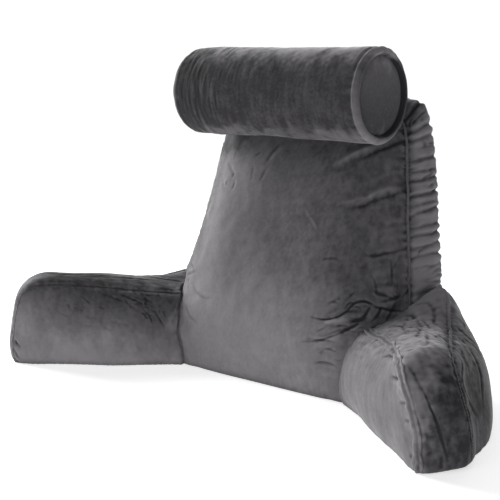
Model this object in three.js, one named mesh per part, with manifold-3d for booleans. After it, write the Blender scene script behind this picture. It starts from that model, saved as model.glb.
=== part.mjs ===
// A backrest pillow: a reclined back cushion, two arm bolsters that splay forwards, and a neck roll
// on the back's top edge, all covered in short-pile plush with piped seams.
// Millimetres, +Z up, the sitter faces -Y. The origin is the middle of the back's flat underside.
import * as THREE from "three";
import { mergeVertices } from "three/addons/utils/BufferGeometryUtils.js";
import Module from "manifold-3d";

const wasm = await Module();
wasm.setup();

// Clearance between pieces that touch.
const GAP = 0.3;

// How round a strip puffs out between its two seams: smaller is flatter with sharper edges.
const PUFF = 0.6;

// The back cushion: a boxed pad whose front and rear panels are joined by a strip.
const BACK = {
  seamHeight: 534,
  topCrown: 12,
  halfWidthAtFloor: 299,
  narrowing: 0.176,
  frontSeamAtFloor: -27,
  recline: 0.2185,
  sidePuff: 14,
  cornerAcross: 0.28,
  cornerUp: 0.13,
  crown: { power: 4.5, shape: 0.75 },
  grid: [18, 6, 32],
};

// The back's sections, from the floor to its top seams: the depth of the strip and how far each
// panel is crowned in its middle.
const BACK_SECTIONS = [
  { height: 0, strip: 96, front: 60, rear: 24 },
  { height: 20, strip: 96, front: 76, rear: 29 },
  { height: 70, strip: 96, front: 94, rear: 32 },
  { height: 130, strip: 95, front: 96, rear: 34 },
  { height: 230, strip: 92, front: 82, rear: 34 },
  { height: 350, strip: 88, front: 65, rear: 31 },
  { height: 440, strip: 84, front: 53, rear: 26 },
  { height: 500, strip: 80, front: 35, rear: 17 },
  { height: 534, strip: 78, front: 0, rear: 0 },
];

// An arm bolster, in a plan frame that starts where its inner face leaves the back at the floor.
const ARM = {
  rootX: 200.7,
  rootY: -88,
  splay: THREE.MathUtils.degToRad(55.1),
  start: -70,
  end: 346,
  frontPuff: 11,
  topPuff: 12,
  cornerTop: { along: 60, up: 102 },
  cornerFoot: { along: 30, up: 27 },
  cornerFootTurn: 0.4,
  footRound: 0.22,
  frontFade: { from: 150, power: 2, shape: 0.8 },
  inner: { footShare: 0.74, fullUpTo: 0.3, power: 2, shape: 0.8 },
  outer: { footShare: 0.84, fullUpTo: 0.5, power: 2, shape: 0.6 },
  grid: [24, 6, 10],
};

// The arm's sections, from inside the back to the front end: distance along the arm, the middle
// of the strip, half the strip's width, how far each panel bulges, the height of the top seams, how
// much higher the outer one is than the inner one, and how far the section leans inwards.
const ARM_SECTIONS = [
  { along: -70, middle: 82, half: 42, inner: 48, outer: 34, seam: 142, rise: 58, lean: 0 },
  { along: 0, middle: 104, half: 66, inner: 51, outer: 66, seam: 144, rise: 46, lean: 0 },
  { along: 60, middle: 96, half: 62, inner: 55, outer: 70, seam: 148, rise: 12, lean: 4 },
  { along: 120, middle: 87, half: 57, inner: 57, outer: 66, seam: 152, rise: 0, lean: 8 },
  { along: 180, middle: 76, half: 53, inner: 54, outer: 62, seam: 159, rise: 0, lean: 14 },
  { along: 270, middle: 50, half: 49, inner: 44, outer: 58, seam: 165, rise: 0, lean: 20 },
  { along: 346, middle: 24, half: 48, inner: 34, outer: 26, seam: 165, rise: 0, lean: 22 },
];

// The neck roll, across the front of the back's top edge.
const ROLL = {
  length: 434,
  radius: 83.5,
  rimFlare: 1.5,
  y: -10,
  z: 550.6,
  rimThickness: 16.6,
  rimTaper: 12,
  seat: 1.5,
  discSink: 5,
  discDome: 7,
  discSteps: 4,
  rimSteps: 6,
  sides: 40,
};

// The welt sewn into the seams: an oval cord of the cover's cloth.
const WELT = { halfWidth: 4.4, halfHeight: 3, sides: 6, lowest: 2 };

// How much closer together grid lines are at a seam than in the middle of a panel.
const CROWDING = 0.55;

const plush = new THREE.MeshStandardMaterial({ color: 0x5c5a5e, roughness: 0.95 });
const weltPlush = new THREE.MeshStandardMaterial({ color: 0x656367, roughness: 0.95 });

// 0 to 1 between two values, with an eased start and end.
function ease(value, from, to) {
  return THREE.MathUtils.smoothstep(value, from, to);
}

// How full a stuffed panel is at u, from 1 in the middle to 0 at its seam at u = 1.
function fullness(u, { power, shape }) {
  return Math.pow(1 - Math.pow(THREE.MathUtils.clamp(Math.abs(u), 0, 1), power), shape);
}

// The same for a panel that is full as far as a position, and then falls off to its seam at the end.
function fallOff(value, from, end, profile) {
  return fullness(Math.max(0, (value - from) / (end - from)), profile);
}

// Sets grid lines closer together near the seams, where a panel turns fastest.
function towardsSeams(u) {
  return u + CROWDING * 0.5 * (u - u * u * u);
}

// Rounds the corner of a unit square: p and q run from 0 to 1 into the corner.
function roundCorner(p, q) {
  return [p * Math.sqrt(1 - (q * q) / 2), q * Math.sqrt(1 - (p * p) / 2)];
}

// The row of a table of sections at a position of its first column, blended between its rows.
function sectionAt(rows, key, position) {
  const after = rows.findIndex((row) => position <= row[key]);
  const next = after < 0 ? rows.length - 1 : Math.max(1, after);
  const [low, high] = [rows[next - 1], rows[next]];
  const share = THREE.MathUtils.clamp((position - low[key]) / (high[key] - low[key]), 0, 1);
  const found = {};
  for (const column of Object.keys(low)) {
    found[column] = THREE.MathUtils.lerp(low[column], high[column], share);
  }
  return found;
}

// A closed pad made from a cube's grid: place(a, b, c) takes a point of the cube, each from -1 to 1.
// The result keeps the cube's own coordinates, so that a seam can be followed afterwards.
function makePad(segments, place) {
  const cube = new THREE.BoxGeometry(2, 2, 2, ...segments);
  cube.deleteAttribute("normal");
  cube.deleteAttribute("uv");
  const pad = mergeVertices(cube, 1e-4);
  const position = pad.getAttribute("position");
  const index = new Map();
  const spot = new THREE.Vector3();
  for (let i = 0; i < position.count; i++) {
    spot.fromBufferAttribute(position, i);
    index.set(cubeKey(spot.x, spot.y, spot.z), i);
    place(towardsSeams(spot.x), towardsSeams(spot.y), towardsSeams(spot.z), spot);
    position.setXYZ(i, spot.x, spot.y, spot.z);
  }
  pad.computeVertexNormals();
  return { geometry: pad, index, segments };
}

function cubeKey(a, b, c) {
  return [a, b, c].map((v) => Math.round(v * 1000)).join(",");
}

// The same surface with its triangles turned over.
function turned(surface) {
  const geometry = surface.clone();
  const triangles = geometry.getIndex();
  for (let i = 0; i < triangles.count; i += 3) {
    const second = triangles.getX(i + 1);
    triangles.setX(i + 1, triangles.getX(i + 2));
    triangles.setX(i + 2, second);
  }
  geometry.computeVertexNormals();
  return geometry;
}

// A pad mirrored in X, for the left side.
function mirrored(pad) {
  return { ...pad, geometry: turned(pad.geometry.clone().scale(-1, 1, 1)) };
}

// The points of a pad's seam with the way out there. The corners are the cube's corners it joins.
function seamLine(pad, corners) {
  const position = pad.geometry.getAttribute("position");
  const normal = pad.geometry.getAttribute("normal");
  const line = [];
  for (let leg = 0; leg + 1 < corners.length; leg++) {
    const [from, to] = [corners[leg], corners[leg + 1]];
    const axis = from.findIndex((value, k) => value !== to[k]);
    const steps = pad.segments[axis];
    for (let i = leg ? 1 : 0; i <= steps; i++) {
      const spot = from.map((value, k) => THREE.MathUtils.lerp(value, to[k], i / steps));
      const at = pad.index.get(cubeKey(...spot));
      line.push({
        point: new THREE.Vector3().fromBufferAttribute(position, at),
        out: new THREE.Vector3().fromBufferAttribute(normal, at),
      });
    }
  }
  return line;
}

// The back's outline in the front view, with rounded top corners, and which way is out there.
// a runs from side to side, -1 to 1, and t from the floor to the top, 0 to 1.
function backOutline(a, t) {
  const p = Math.max(0, (Math.abs(a) - (1 - BACK.cornerAcross)) / BACK.cornerAcross);
  const q = Math.max(0, (t - (1 - BACK.cornerUp)) / BACK.cornerUp);
  const [p2, q2] = roundCorner(p, q);
  const across = p > 0 ? Math.sign(a) * (1 - BACK.cornerAcross + BACK.cornerAcross * p2) : a;
  const up = q > 0 ? 1 - BACK.cornerUp + BACK.cornerUp * q2 : t;
  return { across, up, outX: Math.sign(a) * p2, outZ: q2 };
}

// A point of the back: a runs from side to side, b from the front to the rear panel, c up.
function backPoint(a, b, c, spot) {
  const { across, up, outX, outZ } = backOutline(a, (c + 1) / 2);
  const puff = Math.pow(1 - b * b, PUFF);
  const z = up * BACK.seamHeight;
  const section = sectionAt(BACK_SECTIONS, "height", z);
  const crown = (b < 0 ? section.front : section.rear) * fullness(a, BACK.crown);
  spot.x = across * (BACK.halfWidthAtFloor - BACK.narrowing * z) + outX * BACK.sidePuff * puff;
  spot.y = BACK.frontSeamAtFloor + BACK.recline * z + section.strip / 2;
  spot.y += b * (section.strip / 2 + crown);
  spot.z = z + outZ * BACK.topCrown * puff;
  giveWay(spot);
}

// The roll dents the back where it rests on it. Its own outline is cut from the back afterwards.
function giveWay(spot) {
  const keep = ROLL.radius - ROLL.seat;
  const y = spot.y - ROLL.y;
  const z = spot.z - ROLL.z;
  const far = Math.hypot(y, z);
  if (far >= keep || Math.abs(spot.x) > ROLL.length / 2) return;
  spot.y = ROLL.y + (y * keep) / far;
  spot.z = ROLL.z + (z * keep) / far;
}

// A point of the right arm: a runs along it, b across it from the inner to the outer panel, c up.
function armPoint(a, b, c, spot) {
  let along = THREE.MathUtils.lerp(ARM.start, ARM.end, (a + 1) / 2);
  let up = (c + 1) / 2;
  const section = sectionAt(ARM_SECTIONS, "along", along);
  const puff = Math.pow(1 - b * b, PUFF);
  const panel = b < 0 ? ARM.inner : ARM.outer;
  const foot = panel.footShare + (1 - panel.footShare) * Math.sqrt(ease(up, 0, ARM.footRound));
  const height = fallOff(up, panel.fullUpTo, 1, panel);
  const length = fallOff(along, ARM.frontFade.from, ARM.end, ARM.frontFade);
  const bulge = (b < 0 ? section.inner : section.outer) * length * foot * height;
  // The two front corners are rounded in the side view, the lower one more on the outer side.
  const corner = up > 0.5 ? ARM.cornerTop : ARM.cornerFoot;
  const size = up > 0.5 ? 1 : 1 + ARM.cornerFootTurn * b;
  const [reach, rise] = [corner.along * size, (corner.up * size) / section.seam];
  const p = Math.max(0, (along - (ARM.end - reach)) / reach);
  const q = Math.max(0, up > 0.5 ? (up - (1 - rise)) / rise : (rise - up) / rise);
  const [p2, q2] = roundCorner(p, q);
  if (p > 0) along = ARM.end - reach * (1 - p2);
  if (q > 0) up = up > 0.5 ? 1 - rise * (1 - q2) : rise * (1 - q2);
  const top = up > 0.5 ? q2 : 0;
  along += ARM.frontPuff * puff * p2 * ease(a, 0.9, 1);
  const across = section.middle + section.lean * (1 - 2 * up) + b * (section.half + bulge);
  const [dx, dy] = [Math.sin(ARM.splay), -Math.cos(ARM.splay)];
  spot.x = ARM.rootX + along * dx - across * dy;
  spot.y = ARM.rootY + along * dy + across * dx;
  const seam = section.seam + section.rise * Math.pow((b + 1) / 2, 2);
  spot.z = up * seam + ARM.topPuff * puff * top;
}

// Solids

function solidOf(geometry) {
  const bare = new THREE.BufferGeometry();
  bare.setAttribute("position", geometry.getAttribute("position").clone());
  if (geometry.getIndex()) bare.setIndex(geometry.getIndex());
  const merged = mergeVertices(bare, 1e-3);
  return new wasm.Manifold(
    new wasm.Mesh({
      numProp: 3,
      vertProperties: new Float32Array(merged.getAttribute("position").array),
      triVerts: new Uint32Array(merged.getIndex().array),
    }),
  );
}

// The pad pushed outwards by the gap, as a tool that leaves a neighbour clear of it.
function grownSolid(pad, by) {
  const geometry = pad.geometry.clone();
  const position = geometry.getAttribute("position");
  const normal = geometry.getAttribute("normal");
  for (let i = 0; i < position.count; i++) {
    position.setXYZ(
      i,
      position.getX(i) + normal.getX(i) * by,
      position.getY(i) + normal.getY(i) * by,
      position.getZ(i) + normal.getZ(i) * by,
    );
  }
  return solidOf(geometry);
}

function largest(solid) {
  const bodies = solid.decompose();
  return bodies.reduce((best, body) => (body.volume() > best.volume() ? body : best), bodies[0]);
}

function geometryOf(solid) {
  const { vertProperties, triVerts } = solid.getMesh();
  const geometry = new THREE.BufferGeometry();
  geometry.setAttribute("position", new THREE.BufferAttribute(vertProperties, 3));
  geometry.setIndex(new THREE.BufferAttribute(triVerts, 1));
  geometry.computeVertexNormals();
  return geometry;
}

// A welt along a seam line, clear of the pad by the gap, or the space round it that others leave.
function weltSolid(line, extra = 0) {
  const cord = new THREE.CylinderGeometry(1, 1, 1, WELT.sides, line.length - 1);
  cord.deleteAttribute("normal");
  cord.deleteAttribute("uv");
  const merged = mergeVertices(cord, 1e-4);
  const position = merged.getAttribute("position");
  const spot = new THREE.Vector3();
  for (let i = 0; i < position.count; i++) {
    spot.fromBufferAttribute(position, i);
    const at = Math.round((0.5 - spot.y) * (line.length - 1));
    const before = line[Math.max(0, at - 1)].point;
    const after = line[Math.min(line.length - 1, at + 1)].point;
    const tangent = after.clone().sub(before).normalize();
    const out = line[at].out.clone().addScaledVector(tangent, -line[at].out.dot(tangent)).normalize();
    const side = tangent.clone().cross(out);
    const across = spot.x * (WELT.halfWidth + extra);
    const height = WELT.halfHeight + GAP + spot.z * (WELT.halfHeight + extra);
    spot.copy(line[at].point).addScaledVector(side, across).addScaledVector(out, height);
    position.setXYZ(i, spot.x, spot.y, spot.z);
  }
  const solid = solidOf(merged);
  return solid.volume() > 0 ? solid : solidOf(turned(merged));
}

// The neck roll: a tube with a rounded rim at each end and a sunk, slightly domed disc inside it.
// It is made larger all round by the gap to cut the back clear of it.
function rollGeometry(larger = 0) {
  const disc = ROLL.radius + ROLL.rimFlare - ROLL.rimThickness;
  const middle = disc + ROLL.rimThickness / 2;
  const sunk = ROLL.length / 2 - ROLL.discSink - ROLL.discDome;
  const profile = [];
  for (let i = 0; i <= ROLL.discSteps; i++) {
    const u = i / ROLL.discSteps;
    profile.push([u * disc, sunk + ROLL.discDome * (1 - u * u)]);
  }
  for (let i = 1; i <= ROLL.rimSteps; i++) {
    const angle = Math.PI * (1 - i / ROLL.rimSteps);
    const depth = (ROLL.discSink + ROLL.discDome) * Math.sin(angle);
    profile.push([middle + (ROLL.rimThickness / 2) * Math.cos(angle), sunk + depth]);
  }
  profile.push([ROLL.radius, sunk - ROLL.rimTaper]);
  const start = profile.map(([r, x]) => new THREE.Vector2(r, -x));
  const finish = profile.map(([r, x]) => new THREE.Vector2(r, x)).reverse();
  const lathe = new THREE.LatheGeometry([...start, ...finish], ROLL.sides);
  const radial = 1 + (2 * larger) / ROLL.radius;
  lathe.scale(radial, 1 + (2 * larger) / ROLL.length, radial);
  lathe.rotateZ(-Math.PI / 2);
  lathe.translate(0, ROLL.y, ROLL.z);
  return lathe;
}

const group = new THREE.Group();

function addPiece(name, geometry, material) {
  const mesh = new THREE.Mesh(geometry, material);
  mesh.name = name;
  group.add(mesh);
  return mesh;
}

const backPad = makePad(BACK.grid, backPoint);
const rightPad = makePad(ARM.grid, armPoint);
const armPads = { right: rightPad, left: mirrored(rightPad) };

const backSolid = solidOf(backPad.geometry).subtract(solidOf(rollGeometry(GAP / 2)));
const backKeepOut = grownSolid(backPad, GAP);
const rollSolid = solidOf(rollGeometry());
const armsKeepOut = Object.values(armPads).map((pad) => grownSolid(pad, GAP));
// Welts end just above the ground, so that the cushions' flat undersides carry the pillow.
const ground = solidOf(new THREE.BoxGeometry(2000, 2000, 100).translate(0, 0, WELT.lowest - 50));

addPiece("back_cushion", geometryOf(backSolid), plush);
for (const [side, pad] of Object.entries(armPads)) {
  addPiece(`arm_${side}`, geometryOf(largest(solidOf(pad.geometry).subtract(backKeepOut))), plush);
}
addPiece("neck_roll", geometryOf(rollSolid), plush);

// The back's seams run from one arm over the top to the other, an arm's from the back to its foot.
const backWeltsKeepOut = [];
for (const [panel, b] of [["front", -1], ["rear", 1]]) {
  const line = seamLine(backPad, [[-1, b, -1], [-1, b, 1], [1, b, 1], [1, b, -1]]);
  const clear = [ground, ...armsKeepOut];
  const welt = clear.reduce((solid, keepOut) => solid.subtract(keepOut), weltSolid(line));
  addPiece(`welt_back_${panel}`, geometryOf(largest(welt)), weltPlush);
  backWeltsKeepOut.push(weltSolid(line, 2 * GAP));
}
for (const [side, pad] of Object.entries(armPads)) {
  for (const [panel, b] of [["inner", -1], ["outer", 1]]) {
    const line = seamLine(pad, [[-1, b, 1], [1, b, 1], [1, b, -1]]);
    const clear = [ground, backKeepOut, ...backWeltsKeepOut];
    const welt = clear.reduce((solid, keepOut) => solid.subtract(keepOut), weltSolid(line));
    addPiece(`welt_${side}_${panel}`, geometryOf(largest(welt)), weltPlush);
  }
}

export default group;
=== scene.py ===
"""Looks for the backrest pillow: plush covers, piped seams and a pale studio stage."""

import heapq
import math
from typing import NamedTuple

import bmesh
import bpy
import numpy as np
from bpy.props import FloatProperty, FloatVectorProperty, IntProperty, PointerProperty
from mathutils import Matrix, Vector
from mathutils.bvhtree import BVHTree
from mathutils.kdtree import KDTree


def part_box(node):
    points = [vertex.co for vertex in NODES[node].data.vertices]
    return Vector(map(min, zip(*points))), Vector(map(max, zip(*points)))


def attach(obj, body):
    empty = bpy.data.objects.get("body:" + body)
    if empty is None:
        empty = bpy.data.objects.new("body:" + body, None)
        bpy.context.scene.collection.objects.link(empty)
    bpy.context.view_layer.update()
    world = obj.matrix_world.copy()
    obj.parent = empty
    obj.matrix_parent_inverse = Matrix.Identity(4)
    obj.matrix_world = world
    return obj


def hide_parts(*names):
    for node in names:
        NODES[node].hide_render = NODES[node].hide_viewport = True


bl_info = {
    "name": "Backrest pillow",
    "version": (1, 0, 0),
    "blender": (4, 5, 0),
    "location": "3D View > Sidebar > Pillow",
    "description": "Dresses the backrest pillow's solids in plush covers with piped seams",
    "category": "Object",
}

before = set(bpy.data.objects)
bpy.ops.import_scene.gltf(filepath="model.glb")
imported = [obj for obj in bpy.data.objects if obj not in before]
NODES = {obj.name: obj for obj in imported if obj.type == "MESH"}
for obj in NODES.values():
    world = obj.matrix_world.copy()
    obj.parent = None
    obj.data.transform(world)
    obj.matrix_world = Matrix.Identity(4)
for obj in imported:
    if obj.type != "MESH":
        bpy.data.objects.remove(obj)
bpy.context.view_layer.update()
MM = 0.001

RIPPLE_WAVES = 28
CREASE_POINTS = 33
CREASE_LIP = 0.4  # share of a crease's depth
# A crease's dark line is painted shade.
CREASE_CORE = 0.0019  # half the width of its dark line
PUCKER_WIDTH = 0.0021
SEAM_PITCH = 0.003
SEAM_BIN = 0.008  # length of seam whose points are averaged to find its middle
LONG_EDGE = 0.006
WELD = 1e-5
NEARBY = 0.03
# Distances over which the cloth is let go: from the floor, a cushion it leans on and a seam
FLOOR_HOLD = (0.001, 0.012)
LEANING = (0.006, 0.024)
SEWN = (0.004, 0.011)
HOLD_STEPS = 20
MEETING = (0.004, 0.022)  # the same for the part that keeps to the CAD surface
# The right arm's lengthwise and crosswise ways; the left arm mirrors them
ARM_ALONG = np.array((0.82, -0.57, 0))
ARM_ACROSS = np.array((0.57, 0.82, 0))
ARM_START = 0.2148
# Painted shade on the cloth beside the seams, per cover
SEAM_SHADES = {"back_cover": 0.3, "right_arm_cover": 0.25, "left_arm_cover": 0.06}

CUSHIONS = {
    "back_cover": "back_cushion",
    "right_arm_cover": "arm_right",
    "left_arm_cover": "arm_left",
    "neck_roll_cover": "neck_roll",
}
WELTS = {
    "back_front_welt": "welt_back_front",
    "back_rear_welt": "welt_back_rear",
    "right_arm_inner_welt": "welt_right_inner",
    "right_arm_outer_welt": "welt_right_outer",
    "left_arm_inner_welt": "welt_left_inner",
    "left_arm_outer_welt": "welt_left_outer",
}


def linear(code):
    """A colour's sRGB hex code as linear red, green and blue."""
    shares = [int(code[i : i + 2], 16) / 255 for i in (1, 3, 5)]
    return tuple(s / 12.92 if s <= 0.04045 else ((s + 0.055) / 1.055) ** 2.4 for s in shares)


def length(name, description, default):
    """A length in metres for the panel."""
    return FloatProperty(
        name=name, description=description, default=default, unit="LENGTH", subtype="DISTANCE"
    )


def colour(name, description, code):
    """A colour for the panel, given as an sRGB hex code."""
    return FloatVectorProperty(
        name=name, description=description, default=linear(code), subtype="COLOR"
    )


class PillowSizes(bpy.types.PropertyGroup):
    cloth_grid: length(
        "Cloth grid", "Spacing of the cloth's points before it is refined once", 0.0084
    )
    pressure: FloatProperty(
        name="Filling pressure",
        description="How hard the filling presses the cover outwards",
        default=4.0,
    )
    fullness: FloatProperty(
        name="Spare cloth",
        description="Share by which the cover is cut larger than the cushion it holds",
        default=0.005,
        subtype="FACTOR",
    )
    swell_limit: length(
        "Swell limit", "The furthest that a point of a cover may move while it fills", 0.009
    )
    frames: IntProperty(
        name="Filling steps",
        description="Steps of the cloth simulation that fills the covers",
        default=20,
    )
    strip_puff: length(
        "Strip puff", "How far the back's side strips puff out between their seams", 0.017
    )
    sag: length(
        "Sag", "How far the lower edges sink towards the floor under the cushions' weight", 0.009
    )
    seam_draw: length("Seam draw", "How deep the cloth is drawn in beside a seam", 0.0022)
    roll_grid: length("Roll grid", "Spacing of the points of the neck roll's cover", 0.0021)
    stitch_pitch: length("Stitch pitch", "From one stitch of the arms' seams to the next", 0.0055)


class PillowColours(bpy.types.PropertyGroup):
    # The plush's two tones; the stored tone mixes between them and holds the pile's mottling
    # together with painted light, shade and sheen.
    plush_dark_tone: colour("Nap brushed up", "Plush where its pile stands towards the eye", "#302e31")
    plush_light_tone: colour("Nap brushed down", "Plush where its pile lies away from the eye", "#8e8b8f")
    thread: colour("Thread", "Sewing thread in the seams", "#767478")
    floor: colour("Floor", "Pale studio floor", "#f4f4f4")


def sizes():
    return bpy.context.scene.pillow_sizes


def colours():
    return bpy.context.scene.pillow_colours


# Meshes and points


def vectors(items, field):
    """A field of some of a mesh's items as rows of three numbers."""
    flat = np.empty(len(items) * 3, np.float32)
    items.foreach_get(field, flat)
    return flat.reshape(-1, 3).astype(float)


def points_of(mesh):
    """A mesh's points, one row each."""
    return vectors(mesh.vertices, "co")


def normals_of(mesh):
    """The way out at each point of a mesh."""
    return vectors(mesh.vertex_normals, "vector")


def place_points(mesh, points):
    """Moves a mesh's points to the given places."""
    mesh.vertices.foreach_set("co", points.astype(np.float32).ravel())
    mesh.update()


def merged_copy(node):
    """A CAD node's mesh as a closed bmesh."""
    mesh = bmesh.new()
    mesh.from_mesh(NODES[node].data)
    bmesh.ops.remove_doubles(mesh, verts=mesh.verts, dist=WELD)
    return mesh


def new_piece(name, mesh):
    """A bmesh as an object of the scene, shaded smooth."""
    data = bpy.data.meshes.new(name)
    mesh.to_mesh(data)
    mesh.free()
    piece = bpy.data.objects.new(name, data)
    bpy.context.scene.collection.objects.link(piece)
    smooth(piece)
    return piece


def smooth(piece):
    piece.data.polygons.foreach_set("use_smooth", [True] * len(piece.data.polygons))


def modified_mesh(piece):
    """A new mesh: the piece's own with its modifiers applied."""
    graph = bpy.context.evaluated_depsgraph_get()
    return bpy.data.meshes.new_from_object(piece.evaluated_get(graph), depsgraph=graph)


def settle(piece):
    """Puts the piece's modified mesh in the place of its own."""
    bpy.context.view_layer.update()
    made = modified_mesh(piece)
    old = piece.data
    piece.modifiers.clear()
    piece.data = made
    bpy.data.meshes.remove(old)
    smooth(piece)


def surface_of(piece):
    """A search tree of a piece's faces."""
    return BVHTree.FromObject(piece, bpy.context.evaluated_depsgraph_get())


def tree_of(*nodes):
    """A search tree of the faces of CAD nodes."""
    corners, faces = [], []
    for node in nodes:
        start = len(corners)
        corners += [v.co.copy() for v in NODES[node].data.vertices]
        faces += [[start + i for i in p.vertices] for p in NODES[node].data.polygons]
    return BVHTree.FromPolygons(corners, faces)


def unit(rows):
    """Each row as a way of length 1."""
    return rows / np.linalg.norm(rows, axis=1)[:, None]


def distances(tree, points, reach):
    """How far each point is from the nearest face of the tree, at most the reach."""
    found = np.full(len(points), reach)
    for i, point in enumerate(points):
        hit = tree.find_nearest(Vector(point), reach)
        if hit[3] is not None:
            found[i] = hit[3]
    return found


def fade(values, near, far):
    """1 up to near and 0 from far on, eased between."""
    share = np.clip((far - values) / (far - near), 0, 1)
    return share * share * (3 - 2 * share)


def grow(values, near, far):
    """0 up to near and 1 from far on, eased between."""
    return fade(-values, -far, -near)


def bell(values):
    """1 at zero, falling off evenly on both sides."""
    return np.exp(-(values**2))


def facing_up(normals):
    """1 where the cloth faces up, 0 on its sides."""
    return grow(normals[:, 2], 0.3, 0.8)


def ripple(points, length, seed):
    """A smooth random field, about -1 to 1, with hills of about that length."""
    random = np.random.default_rng(seed)
    ways = unit(random.normal(size=(RIPPLE_WAVES, 3)))
    turns = 2 * math.pi / (length * random.uniform(0.75, 1.6, RIPPLE_WAVES))
    phases = random.uniform(0, 2 * math.pi, RIPPLE_WAVES)
    waves = np.sin(points @ (ways * turns[:, None]).T + phases)
    return waves.sum(1) / math.sqrt(2 * RIPPLE_WAVES)


# Creases laid in the cloth, in millimetres


def table(kind, *rows):
    """Rows of plain values as named rows of one kind."""
    return [kind(*row) for row in rows]


class Crease(NamedTuple):
    """A crease from start over bend to end; a negative depth is a ridge."""

    start: tuple
    bend: tuple
    end: tuple
    depth: float
    width: float


class Ruche(NamedTuple):
    """A gathered fold across the back's side strip, at a height of the front seam."""

    height: float
    rise: float
    depth: float
    width: float
    first: float
    last: float


RUCHES = table(
    Ruche,
    (500, 12, 3.4, 2.8, 0.05, 0.90),
    (481, 8, 5.0, 3.1, 0.00, 1.00),
    (462, 7, 2.8, 2.5, 0.10, 0.80),
    (446, 5, 1.8, 2.2, 0.30, 1.00),
    (428, 6, 4.5, 2.8, 0.00, 0.95),
    (409, 4, 2.0, 2.2, 0.02, 0.60),
    (391, 8, 3.4, 2.5, 0.05, 0.90),
    (365, 7, 5.6, 2.8, 0.00, 0.90),
    (347, 3, 1.8, 2.2, 0.00, 0.55),
    (328, 7, 4.0, 2.8, 0.02, 1.00),
    (312, 6, 2.9, 2.5, 0.00, 0.80),
    (294, 8, 4.2, 2.8, 0.00, 0.95),
    (273, 9, 4.0, 2.8, 0.03, 0.90),
    (255, 0, 4.8, 3.1, 0.05, 1.00),
    (236, 3, 2.5, 2.5, 0.10, 0.70),
    (216, -2, 5.1, 3.1, 0.15, 1.00),
    (192, 16, 5.6, 3.1, 0.00, 0.95),
    (150, 10, 3.4, 3.1, 0.10, 1.00),
    (95, -6, 2.8, 3.1, 0.20, 0.90),
)

CREASES = {}
CREASES["back_cover"] = table(
    Crease,
    # from under the roll to the top of the right side
    ((100, 10, 418), (145, 26, 445), (218, 84, 484), -2.6, 5.0),
    ((150, 20, 434), (185, 42, 452), (224, 80, 470), 1.5, 3.4),
    ((133, -12, 351), (181, 8, 368), (226, 42, 388), -1.8, 5.0),
    ((150, -8, 342), (190, 10, 358), (232, 50, 378), 1.1, 3.6),
    ((191, -29, 263), (224, -5, 267), (250, 30, 276), 1.8, 2.6),
    ((117, -51, 246), (135, -47, 254), (156, -44, 252), 1.0, 2.0),
    ((62, -21, 335), (81, -28, 317), (100, -35, 295), -0.7, 2.4),
    # under the roll, left of the middle
    ((-60, 6, 412), (-50, 14, 432), (-38, 22, 452), 1.0, 3.0),
    ((-46, 8, 414), (-38, 14, 432), (-24, 24, 450), -0.9, 4.5),
    ((-62, -6, 376), (-56, 0, 393), (-50, 6, 408), 0.8, 2.8),
    ((-166, 16, 408), (-150, 8, 394), (-132, 0, 380), 0.7, 3.1),
    ((-176, 10, 372), (-164, 2, 360), (-150, -6, 344), 0.6, 3.1),
    # gathered above and beside the right arm
    ((122, -86, 150), (163, -80, 152), (190, -66, 172), 3.0, 1.5),
    ((186, -68, 168), (206, -54, 186), (232, -40, 176), 3.2, 1.6),
    ((226, -44, 177), (252, -22, 170), (274, 2, 168), 3.2, 1.6),
    ((150, -88, 140), (178, -78, 152), (206, -60, 162), -2.7, 3.8),
    ((108, -99, 104), (165, -89, 119), (216, -62, 152), 2.6, 1.5),
    ((112, -98, 108), (146, -94, 112), (182, -88, 112), 1.6, 1.8),
    ((140, -101, 69), (165, -98, 74), (186, -96, 68), 2.2, 1.8),
    ((146, -98, 96), (161, -95, 99), (178, -93, 96), 1.5, 1.8),
    ((205, -60, 150), (216, -54, 160), (222, -46, 178), 2.4, 1.8),
    ((226, -48, 150), (234, -40, 162), (238, -32, 178), 2.4, 1.8),
    ((245, -32, 150), (250, -24, 164), (252, -16, 186), 2.4, 1.8),
    ((233, -2, 254), (239, -8, 232), (242, -14, 208), 1.2, 1.5),
    ((214, -32, 232), (222, -30, 214), (226, -34, 196), 1.0, 1.5),
    ((258, 22, 244), (262, 20, 226), (266, 16, 204), 1.2, 1.5),
    ((196, -66, 148), (210, -60, 152), (222, -52, 160), 2.6, 2.4),
    ((176, -80, 128), (196, -72, 138), (212, -62, 146), 2.6, 2.4),
    ((236, -38, 186), (250, -26, 190), (262, -8, 196), 2.4, 2.4),
    ((226, -40, 206), (238, -30, 198), (252, -14, 186), 2.2, 2.4),
    ((150, -92, 120), (170, -88, 128), (186, -82, 140), 1.6, 2.4),
    # gathered beside the left arm
    ((-122, -86, 150), (-160, -80, 148), (-194, -66, 164), 1.0, 3.0),
    ((-150, -92, 96), (-176, -88, 106), (-206, -66, 128), 1.0, 2.6),
    ((-190, -60, 190), (-214, -44, 180), (-236, -30, 168), 1.0, 2.6),
    # down the plain rear
    ((-150, 170, 330), (-60, 182, 318), (40, 182, 332), 2.0, 5.0),
    ((60, 186, 210), (120, 184, 224), (190, 172, 216), 1.9, 5.0),
    ((-190, 178, 130), (-120, 186, 142), (-40, 190, 134), 1.9, 5.0),
)
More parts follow.
